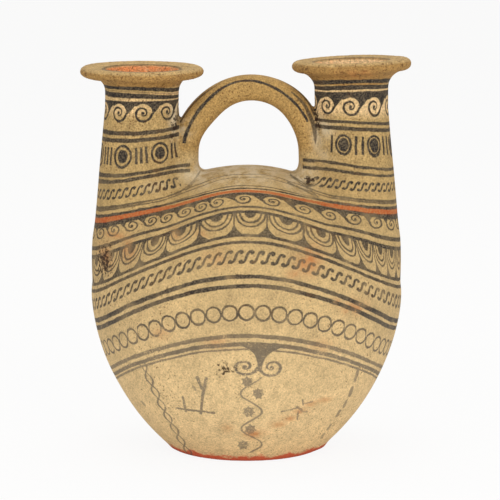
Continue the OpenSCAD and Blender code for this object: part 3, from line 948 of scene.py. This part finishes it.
# Rows of ornament: band heights on the body, row heights on the necks, and how much each strays with the hand
bodyRows = {
    "red": {"middle": 191.45, "half": 1.4, "more": 1.3},
    "spirals": {"middle": 186.7, "top": 190.6, "bottom": 180.9, "narrow": 0.94, "stretch": 1.35},
    "tongues": {"foot": 164.4, "height": 14.8, "middle": 174.0, "lean": -0.026, "stray": 0.045},
    "dogs": {"middle": 151.0, "lean": -0.06, "stray": 0.09},
    "chain": {"middle": 113.7, "pitch": 11.4, "radius": 5.3, "half": 0.78, "stray": 0.8},
}
neckMotifs = {
    "spirals": {"middle": 243.5, "top": 251.9, "bottom": 236.0, "pitch": 18.2},
    "rings": {"middle": 214.1, "half": 11.0, "more": 2.2},
    "dogs": {"middle": 189.4, "stretch": 1.18, "stray": 0.12},
}
# Ornament of the lower front: points across and up, half width, strength
lowerStrokes = [
    ([(24.4, 41.9), (35.2, 43.8)], 0.6, 0.7), ([(39.0, 49.6), (39.4, 45.7)], 0.6, 0.75),
    ([(39.3, 46.5), (45.7, 47.3)], 0.5, 0.6), ([(35.9, 40.6), (35.3, 34.6)], 0.6, 0.7),
    ([(38.0, 40.3), (42.2, 40.0)], 0.5, 0.6), ([(35.0, 44.5), (38.5, 41.5)], 0.8, 0.7),
    ([(-34.1, 66.8), (-29.7, 57.0), (-31.6, 39.8)], 1.05, 0.8), ([(-27.8, 66.0), (-29.7, 57.0)], 1.05, 0.8),
    ([(-44.4, 51.2), (-42.3, 40.5)], 0.95, 0.75), ([(-48.4, 42.2), (-22.5, 40.5)], 0.8, 0.8),
    ([(-36.8, 60.0), (-35.2, 57.5)], 0.8, 0.5), ([(-73.7, 41.0), (-72.0, 39.0)], 0.9, 0.6),
    ([(78.5, 67.0), (76.1, 58.2)], 1.1, 0.7), ([(74.4, 53.3), (72.4, 47.4)], 1.1, 0.7),
    ([(70.7, 43.4), (68.6, 38.6)], 1.0, 0.65), ([(65.6, 36.2), (63.6, 32.2)], 1.0, 0.65),
    ([(59.4, 25.2), (57.2, 21.4)], 0.9, 0.6), ([(54.8, 17.9), (53.0, 14.6)], 0.9, 0.55),
]
# Thin lines that run together at both ends of the hump
humpStrokes = [
    ([(30.8, 197.8), (39.2, 194.1), (48.9, 186.4)], 0.45, 0.8), ([(33.6, 196.3), (43.3, 190.1)], 0.4, 0.75),
    ([(29.2, 194.8), (40.4, 189.7), (50.2, 185.1)], 0.45, 0.75), ([(38.0, 196.6), (46.5, 189.0)], 0.4, 0.6),
    ([(-32.9, 199.8), (-39.7, 192.6), (-49.5, 186.5)], 0.5, 0.6),
    ([(-35.6, 195.5), (-42.5, 189.7)], 0.5, 0.55),
]
rosettes = [(0.9, 64.3), (8.2, 55.9), (1.6, 42.5), (2.8, 28.4), (-2.3, 15.2)]
# the two curls: centre across and up, how much wider and lower than a round one, side
curls = [(-1.0, 75.6, 1.42, 1.0, 1), (17.8, 74.9, 1.3, 1.08, -1)]
plaitRun = {"across": 0.908, "up": 0.42, "start": 35.9}  # how the plait slants down the left flank
# Lines along the strap, as paintMarks measures them: half width, strength
strapLines = [(0.95, 1.0), (1.6, 0.8), (1.1, 0.8)]


def measures(t, name):
    # three measures that paintMarks left on the mesh
    return add(t, "SeparateXYZ", add(t, "Attribute", out=1, attribute_name=name)).node.outputs


def centred(t, count):
    return add(t, "SUBTRACT", add(t, "FRACT", add(t, "ADD", count, 0.5)), 0.5)


def markEnds(t, share):
    # depth inside a mark that goes only where the share is above a half
    return add(t, "MULTIPLY_ADD", share, 12.0, -6.0)


def layCoats(t, colour, *coats):
    # lays coats over one another, each an amount and a colour
    for amount, over in coats:
        colour = add(t, "Mix", data_type="RGBA", out=2, named={0: amount, 6: colour, 7: over})
    return colour


def paintBands(t, place, hand, brush):
    handX, handZ = hand
    x, y, z = place
    band, spread, skew = measures(t, "bandPlace")
    spiralAt, tongueAt, dogAt = measures(t, "bandCounts")
    chainAt, spiralWide, _ = measures(t, "bandMore")
    # 0 at the front, 1 from 105 mm across
    flank = add(t, "MULTIPLY", add(t, "MULTIPLY", x, x), 1 / 11000, use_clamp=True)
    straying = add(t, "ADD", band, add(t, "DIVIDE", handZ, spread))

    def climb(height, low):
        # millimetres on the surface from one band height up to another
        return add(t, "MULTIPLY", add(t, "SUBTRACT", height, low), spread)

    for height, drop, thick, more, strength in bodyLines:
        middle = add(t, "MULTIPLY_ADD", flank, -float(drop), height) if drop else height
        half = add(t, "MULTIPLY_ADD", flank, more / 2, thick / 2) if more else thick / 2
        off = add(t, "MULTIPLY", awayFrom(t, straying, middle), spread)
        brush(add(t, "SUBTRACT", half, off), strength)
    # red band between two dark lines
    row = bodyRows["red"]
    half = add(t, "MULTIPLY_ADD", flank, row["more"], row["half"])
    off = add(t, "MULTIPLY", awayFrom(t, straying, row["middle"]), spread)
    brush(add(t, "SUBTRACT", half, off), 0.95, "red")
    # running spirals, mirrored: the wedge comes down on the left
    row = bodyRows["spirals"]
    up = climb(straying, row["middle"])
    across = add(t, "MULTIPLY_ADD", centred(t, spiralAt), spiralWide, handX)
    across = add(t, "SUBTRACT", across, add(t, "MULTIPLY", up, skew))
    across = add(t, "DIVIDE", across, -row["narrow"])
    wide = add(t, "DIVIDE", spiralWide, row["narrow"])
    depth = add(t, "Group", across, add(t, "MULTIPLY", up, row["stretch"]), wide, node_tree=motifs["spiral"])
    edges = add(t, "MINIMUM", climb(row["top"], band), climb(band, row["bottom"]))
    brush(add(t, "MINIMUM", depth, edges), 0.95)
    # hanging tongues
    row = bodyRows["tongues"]
    up = add(t, "DIVIDE", add(t, "SUBTRACT", straying, row["foot"]), row["height"])
    lean = add(t, "MULTIPLY", climb(band, row["middle"]), skew)
    across = add(t, "MULTIPLY_ADD", handX, row["stray"], centred(t, tongueAt))
    across = add(t, "MULTIPLY_ADD", lean, row["lean"], across)
    brush(add(t, "Group", across, up, node_tree=motifs["tongue"]), 0.9)
    # running dog row
    row = bodyRows["dogs"]
    up = add(t, "SUBTRACT", straying, row["middle"])
    lean = add(t, "MULTIPLY", add(t, "MULTIPLY", up, spread), skew)
    count = add(t, "MULTIPLY_ADD", handX, row["stray"], add(t, "MULTIPLY_ADD", lean, row["lean"], dogAt))
    brush(add(t, "Group", count, up, node_tree=motifs["dog"]), 0.95)
    # chain of circles
    row = bodyRows["chain"]
    up = climb(straying, row["middle"])
    across = add(t, "MULTIPLY", handX, row["stray"])
    across = add(t, "MULTIPLY_ADD", centred(t, chainAt), row["pitch"], across)
    across = add(t, "SUBTRACT", across, add(t, "MULTIPLY", up, skew))
    brush(add(t, "SUBTRACT", row["half"], awayFrom(t, reachOf(t, across, up), row["radius"])), 0.9)
    # ornament of the lower front, and the same again on the back
    fx = add(t, "MULTIPLY", handX, 0.9)
    fx = add(t, "MULTIPLY_ADD", x, add(t, "MULTIPLY", add(t, "SIGN", y), -1.0), fx)
    fz = add(t, "MULTIPLY_ADD", handZ, 0.9, z)
    for path, half, strength in lowerStrokes + humpStrokes:
        for (ax, az), (bx, bz) in zip(path, path[1:]):
            brush(add(t, "Group", fx, fz, ax, az, bx, bz, half, node_tree=motifs["stroke"]), strength)
    for rx, rz in rosettes:
        dx, dz = add(t, "SUBTRACT", fx, rx), add(t, "SUBTRACT", fz, rz)
        brush(add(t, "Group", dx, dz, node_tree=motifs["rosette"]), 0.72)
    for cx, cz, wider, lower, side in curls:
        dx = add(t, "DIVIDE", add(t, "SUBTRACT", fx, cx), wider * side)
        dz = add(t, "DIVIDE", add(t, "SUBTRACT", fz, cz), lower)
        brush(add(t, "Group", dx, dz, node_tree=motifs["curl"]), 0.85)
    brush(add(t, "Group", fx, fz, node_tree=motifs["vine"]), 0.74)
    brush(add(t, "Group", fx, fz, node_tree=motifs["funnel"]), 0.86)
    run = add(t, "MULTIPLY_ADD", fz, plaitRun["up"], add(t, "MULTIPLY", fx, plaitRun["across"]))
    run = add(t, "ADD", run, plaitRun["start"])
    brush(add(t, "Group", run, fz, node_tree=motifs["plait"]), 0.8)


def paintNecks(t, hand, brush):
    handX, handZ = hand
    height, spiralAt, ringAt = measures(t, "neckPlace")
    dogAt, share, rightSide = measures(t, "neckMore")
    ringShare, dogShare, _ = measures(t, "neckEnds")
    leftSide = add(t, "SUBTRACT", 1.0, rightSide)
    # where another part's surface begins, the rows stop
    ends = markEnds(t, share)
    straying = add(t, "ADD", height, handZ)
    for middle, thick, more, strength in neckLines:
        half = add(t, "MULTIPLY_ADD", rightSide, more / 2, thick / 2)
        brush(add(t, "MINIMUM", ends, add(t, "SUBTRACT", half, awayFrom(t, straying, middle))), strength)
    row = neckMotifs["spirals"]
    across = add(t, "MULTIPLY_ADD", centred(t, spiralAt), row["pitch"], handX)
    up = add(t, "SUBTRACT", straying, row["middle"])
    depth = add(t, "Group", across, up, row["pitch"], node_tree=motifs["spiral"])
    depth = add(t, "MINIMUM", depth, add(t, "SUBTRACT", row["top"], straying))
    depth = add(t, "MINIMUM", depth, add(t, "SUBTRACT", straying, row["bottom"]))
    brush(add(t, "MINIMUM", ends, depth), 1.0)
    row = neckMotifs["rings"]
    half = add(t, "MULTIPLY_ADD", leftSide, row["more"], row["half"])
    across = add(t, "MULTIPLY_ADD", add(t, "MULTIPLY", centred(t, ringAt), half), 2.0, handX)
    up = add(t, "SUBTRACT", straying, row["middle"])
    depth = add(t, "Group", across, up, half, leftSide, node_tree=motifs["dotRing"])
    brush(add(t, "MINIMUM", ends, add(t, "MINIMUM", depth, markEnds(t, ringShare))), 1.0)
    row = neckMotifs["dogs"]
    up = add(t, "MULTIPLY", add(t, "SUBTRACT", straying, row["middle"]), row["stretch"])
    count = add(t, "MULTIPLY_ADD", handX, row["stray"], dogAt)
    depth = add(t, "Group", count, up, node_tree=motifs["dog"])
    brush(add(t, "MINIMUM", add(t, "MINIMUM", ends, markEnds(t, dogShare)), depth), 1.0)


def paintStrap(t, brush):
    _, _, onStrap = measures(t, "rimPlace")
    lines, shares = measures(t, "handlePlace"), measures(t, "handleEnds")
    for line, share, (half, strength) in zip(lines, shares, strapLines):
        ends = markEnds(t, add(t, "MINIMUM", onStrap, share))
        brush(add(t, "MINIMUM", ends, add(t, "SUBTRACT", half, add(t, "ABSOLUTE", line))), strength)


def paintedClay(name, parts):
    # Fired buff earthenware, wheel and hand smoothed, unglazed: matt, fine sandy grain, warm mottling,
    # with thin mineral slip brushed on that has worn to grey where it was rubbed
    material = bpy.data.materials.new(name)
    material.use_nodes = True
    t = material.node_tree
    t.nodes.clear()
    mm = add(t, "VectorMath", add(t, "TexCoord", out=3), (1000, 1000, 1000), operation="MULTIPLY")
    x, y, z = add(t, "SeparateXYZ", mm).node.outputs
    grain = {}
    for key, (size, detail, roughness) in grains.items():
        settings = {"Scale": 1 / size, "Detail": detail, "Roughness": roughness}
        grain[key] = add(t, "TexNoise", mm, named=settings)
    mottle, drift, rub, speckle = [grain[key] for key in ("mottle", "drift", "rub", "speckle")]

    # the hand strays slowly over 28 mm and shakes over 5 mm, to both sides alike
    slow, quick = [grain[key].node.outputs[1] for key in ("slow", "quick")]
    stray = add(t, "VectorMath", slow, (slip["straying"],) * 3, operation="MULTIPLY")
    shake = add(t, "VectorMath", quick, (slip["shaking"],) * 3, stray, operation="MULTIPLY_ADD")
    level = -(slip["straying"] + slip["shaking"]) / 2
    shake = add(t, "VectorMath", shake, (level,) * 3, operation="ADD")
    shake = add(t, "VectorMath", shake, (slip["waver"],) * 3, operation="MULTIPLY")
    handX, _, handZ = add(t, "SeparateXYZ", shake).node.outputs
    # brush load comes and goes along a stroke, and the grain frays its edge
    fray = add(t, "ADD", grain["load"], add(t, "MULTIPLY_ADD", grain["fray"], 1.1, -1.05))
    marks = {"dark": None, "red": None}

    def brush(depth, strength=1.0, colour="dark"):
        # lays one mark over those already there
        cover = add(t, "MULTIPLY_ADD", add(t, "ADD", depth, fray), 1 / slip["edge"], 0.5, use_clamp=True)
        cover = add(t, "MULTIPLY", cover, strength)
        marks[colour] = cover if marks[colour] is None else add(t, "MAXIMUM", marks[colour], cover)

    def ramp(measure, key):
        return add(t, "MULTIPLY_ADD", measure, *ramps[key], use_clamp=True)

    def times(one, other):
        return add(t, "MULTIPLY", one, other)

    if "bands" in parts:
        paintBands(t, (x, y, z), (handX, handZ), brush)
    if "necks" in parts:
        paintNecks(t, (handX, handZ), brush)
    if "strap" in parts:
        paintStrap(t, brush)

    # clay: paler low down, which is painted light against the shade on the lower body, and darker and
    # yellower up on the necks
    part = add(t, "MapRange", z, clay["lowFrom"], clay["highFrom"], 0.0, 1.0)
    colour = layCoats(t, clay["low"], (part, clay["high"]))
    out, deep, onStrap = measures(t, "rimPlace")
    if "strap" in parts:
        colour = layCoats(t, colour, (times(onStrap, 0.8), clay["strap"]))
    if "rim" in parts:
        flat = add(t, "MULTIPLY_ADD", deep, 0.7, add(t, "MULTIPLY_ADD", mottle, 2.0, 0.4), use_clamp=True)
        fleck = times(ramp(grain["fleck"], "fleck"), 0.75)
        colour = layCoats(t, colour, (0.85, clay["rimLip"]), (times(flat, 0.85), clay["rimTop"]))
        colour = layCoats(t, colour, (fleck, clay["fleck"]))
    if "rim" in parts or "mouth" in parts:
        # inside the mouths the clay fired red, in patches, over paler clay laid on the whole mouth as painted
        # light against the shade in the throat
        within = times(ramp(out, "insideMouth"), ramp(deep, "belowRim"))
        patchy = add(t, "MULTIPLY_ADD", mottle, 3.0, add(t, "MULTIPLY_ADD", x, -0.006, -1.0), use_clamp=True)
        fired = times(times(ramp(deep, "inThroat"), within), patchy)
        colour = layCoats(t, colour, (within, clay["throatPaintedLight"]), (fired, clay["mouth"]))
        # thin ring where the mouth begins
        front = times(add(t, "MULTIPLY", y, -0.045, use_clamp=True), add(t, "LESS_THAN", x, 0.0))
        half = add(t, "MULTIPLY_ADD", front, 2.6, 0.8)
        off = awayFrom(t, add(t, "SUBTRACT", out, leftNeck["mouth"]), half)
        brush(add(t, "MINIMUM", add(t, "SUBTRACT", half, off), add(t, "ADD", deep, 5.0)), 0.6)
    # the rubbed body is the smoothest, and slip held better on necks and strap
    upper = ramp(z, "upper")
    tone = add(t, "MULTIPLY_ADD", drift, 0.45, add(t, "MULTIPLY_ADD", mottle, 0.8, 0.375))
    sand = add(t, "SUBTRACT", grain["sand"], 0.5)
    tone = add(t, "MULTIPLY_ADD", sand, add(t, "MULTIPLY_ADD", upper, 0.9, 1.6), tone)
    colour = add(t, "VectorMath", colour, operation="SCALE", named={"Scale": tone})
    speck = add(t, "MULTIPLY_ADD", drift, 2.4, add(t, "MULTIPLY_ADD", upper, 0.4, -6.9))
    speck = add(t, "MULTIPLY_ADD", grain["speck"], 9.0, speck, use_clamp=True)
    colour = layCoats(t, colour, (times(speck, 0.85), clay["speck"]))

    # worn slip: patches rubbed to grey, brown where it lies thin, and a fine speckle of clay
    grey, rust, sootAndShade = measures(t, "stainAndShadePlace")
    _, _, hidden = measures(t, "bandMore")
    low = ramp(z, "low")
    worn = add(t, "MULTIPLY_ADD", rub, -1.4, add(t, "MULTIPLY_ADD", upper, -0.22, -1.35))
    worn = add(t, "MULTIPLY_ADD", speckle, 5.0, worn, use_clamp=True)
    thin = times(ramp(grain["thin"], "thin"), 0.7)
    darkTone = layCoats(t, slip["dark"], (worn, slip["darkWorn"]), (thin, slip["brown"]))
    darkTone = layCoats(t, darkTone, (times(low, 0.45), slip["lowGrey"]))
    # where the slip has gone for good
    hold = add(t, "MULTIPLY_ADD", rub, 2.1, add(t, "MULTIPLY_ADD", upper, 0.35, 0.1))
    hold = add(t, "MULTIPLY_ADD", speckle, 2.0, add(t, "SUBTRACT", hold, 1.0))
    hold = add(t, "MULTIPLY_ADD", add(t, "MULTIPLY_ADD", speckle, 5.0, -2.35), low, hold)
    hold = add(t, "MULTIPLY_ADD", grey, -0.45, add(t, "MULTIPLY_ADD", rust, -0.55, hold), use_clamp=True)
    visible = add(t, "SUBTRACT", 1.0, hidden)
    film = times(times(grey, ramp(mottle, "film")), 0.8)
    crust = times(times(rust, ramp(mottle, "crust")), 0.85)
    colour = layCoats(t, colour, (film, clay["grey"]), (crust, clay["rust"]))
    if marks["red"] is not None:
        redTone = layCoats(t, slip["red"], (worn, slip["redWorn"]))
        colour = layCoats(t, colour, (times(marks["red"], visible), redTone))
    if "base" in parts:
        # red slip left along the foot
        foot = add(t, "MULTIPLY_ADD", rub, 6.0, add(t, "MULTIPLY_ADD", mottle, 7.0, -3.6))
        foot = add(t, "MULTIPLY_ADD", z, -0.5, foot, use_clamp=True)
        colour = layCoats(t, colour, (times(foot, 0.85), slip["baseRed"]))
    colour = layCoats(t, colour, (times(times(marks["dark"], hold), visible), darkTone))
    # crumbs of burnt crust, closer together toward the middle of each patch; beside the right strap the same
    # dark is painted shade in its crevice
    crumbs = add(t, "MULTIPLY_ADD", grain["crumb"], 10.0, -6.3)
    crumbs = add(t, "MULTIPLY_ADD", sootAndShade, 2.3, crumbs, use_clamp=True)
    scorchAndShade = times(crumbs, add(t, "MULTIPLY", sootAndShade, 5.0, use_clamp=True))
    colour = layCoats(t, colour, (times(scorchAndShade, 0.92), clay["sootAndShade"]))

    height = add(t, "MULTIPLY_ADD", mottle, 0.8, times(grain["fray"], 0.5))
    bump = add(t, "Bump", named={"Strength": clay["bump"], "Distance": clay["bumpHeight"], "Height": height})
    surface = add(t, "BsdfPrincipled", named={
        "Base Color": colour, "Normal": bump,
        "Roughness": clay["roughness"], "Specular IOR Level": clay["specular"],
    })
    end = t.nodes.new("ShaderNodeOutputMaterial")
    t.links.new(surface, end.inputs[0])
    return material


finishes = {
    "body_clay": paintedClay("Painted buff earthenware, body", {"bands", "necks", "base"}),
    "neck_clay": paintedClay("Painted buff earthenware, necks", {"necks", "strap", "mouth"}),
    "rim_clay": paintedClay("Smoothed buff earthenware, rims", {"necks", "rim"}),
    "handle_clay": paintedClay("Painted buff earthenware, handle", {"necks", "strap"}),
}
for name, _, slot, _ in cuts:
    pieces[name].data.materials.append(finishes[slot])
print("finishes made:", len(finishes))

# Studio: pale floor, white surround, soft light

studio = {
    "floor": "#f4f2ee", "worldStrength": 0.52, "keyPower": 14.2, "fillPower": 7.6, "topPower": 8.9,
    "glow": 0.9,  # how much of the floor the camera sees as plain white
}
scene = bpy.context.scene
scene.view_settings.view_transform = "Standard"

world = bpy.data.worlds.new("Soft white room")
scene.world = world
world.use_nodes = True
w = world.node_tree
w.nodes.clear()
path = w.nodes.new("ShaderNodeLightPath")
seen = add(w, "MAXIMUM", path.outputs["Is Camera Ray"],
           add(w, "MAXIMUM", path.outputs["Is Glossy Ray"], path.outputs["Is Transmission Ray"]))
room = add(w, "Background", (1, 1, 1, 1), studio["worldStrength"])
sheet = add(w, "Background", (1, 1, 1, 1), 1.0)
blend = add(w, "MixShader", seen, room, sheet)
w.links.new(blend, w.nodes.new("ShaderNodeOutputWorld").inputs[0])

floorMesh = bpy.data.meshes.new("studio_floor")
floorMesh.from_pydata([(-6, -6, 0), (6, -6, 0), (6, 6, 0), (-6, 6, 0)], [], [(0, 1, 2, 3)])
floor = bpy.data.objects.new("studio_floor", floorMesh)
scene.collection.objects.link(floor)
paper = bpy.data.materials.new("Pale studio paper, matt")
paper.use_nodes = True
f = paper.node_tree
f.nodes.clear()
path = f.nodes.new("ShaderNodeLightPath")
matt = add(f, "BsdfDiffuse", studio["floor"])
glow = add(f, "Emission", named={1: 1.0})
blend = add(f, "MixShader", add(f, "MULTIPLY", path.outputs["Is Camera Ray"], studio["glow"]), matt, glow)
f.links.new(blend, f.nodes.new("ShaderNodeOutputMaterial").inputs[0])
floorMesh.materials.append(paper)


def softLamp(name, place, aim, size, power):
    data = bpy.data.lights.new(name, "AREA")
    data.shape = "SQUARE"
    data.size = size
    data.energy = power
    lamp = bpy.data.objects.new(name, data)
    lamp.location = place
    lamp.rotation_euler = (Vector(aim) - Vector(place)).to_track_quat("-Z", "Y").to_euler()
    scene.collection.objects.link(lamp)


softLamp("key", (0.95, -1.7, 0.7), (0, 0, 0.11), 1.1, studio["keyPower"])
softLamp("fill", (-1.2, -1.4, 0.8), (0, 0, 0.13), 1.2, studio["fillPower"])
softLamp("top", (0.0, 0.3, 1.7), (0, 0, 0.2), 1.2, studio["topPower"])

view = {
    "distance": 2.3, "pitch": 9.5, "aim": (0.0025, 0.0, 0.142), "pixelsPerMillimetre": 1.4,
    "pictureWidth": 500, "sensor": 36.0,
}
lens = bpy.data.cameras.new("camera")
lens.sensor_width = view["sensor"]
lens.lens = view["pixelsPerMillimetre"] * view["distance"] * 1000 / view["pictureWidth"] * view["sensor"]
lens.clip_end = 50
camera = bpy.data.objects.new("camera", lens)
pitch = math.radians(view["pitch"])
camera.location = Vector(view["aim"]) + Vector((0, -math.cos(pitch), math.sin(pitch))) * view["distance"]
camera.rotation_euler = (math.pi / 2 - pitch, 0, 0)
scene.collection.objects.link(camera)
scene.camera = camera
print("studio and camera set")
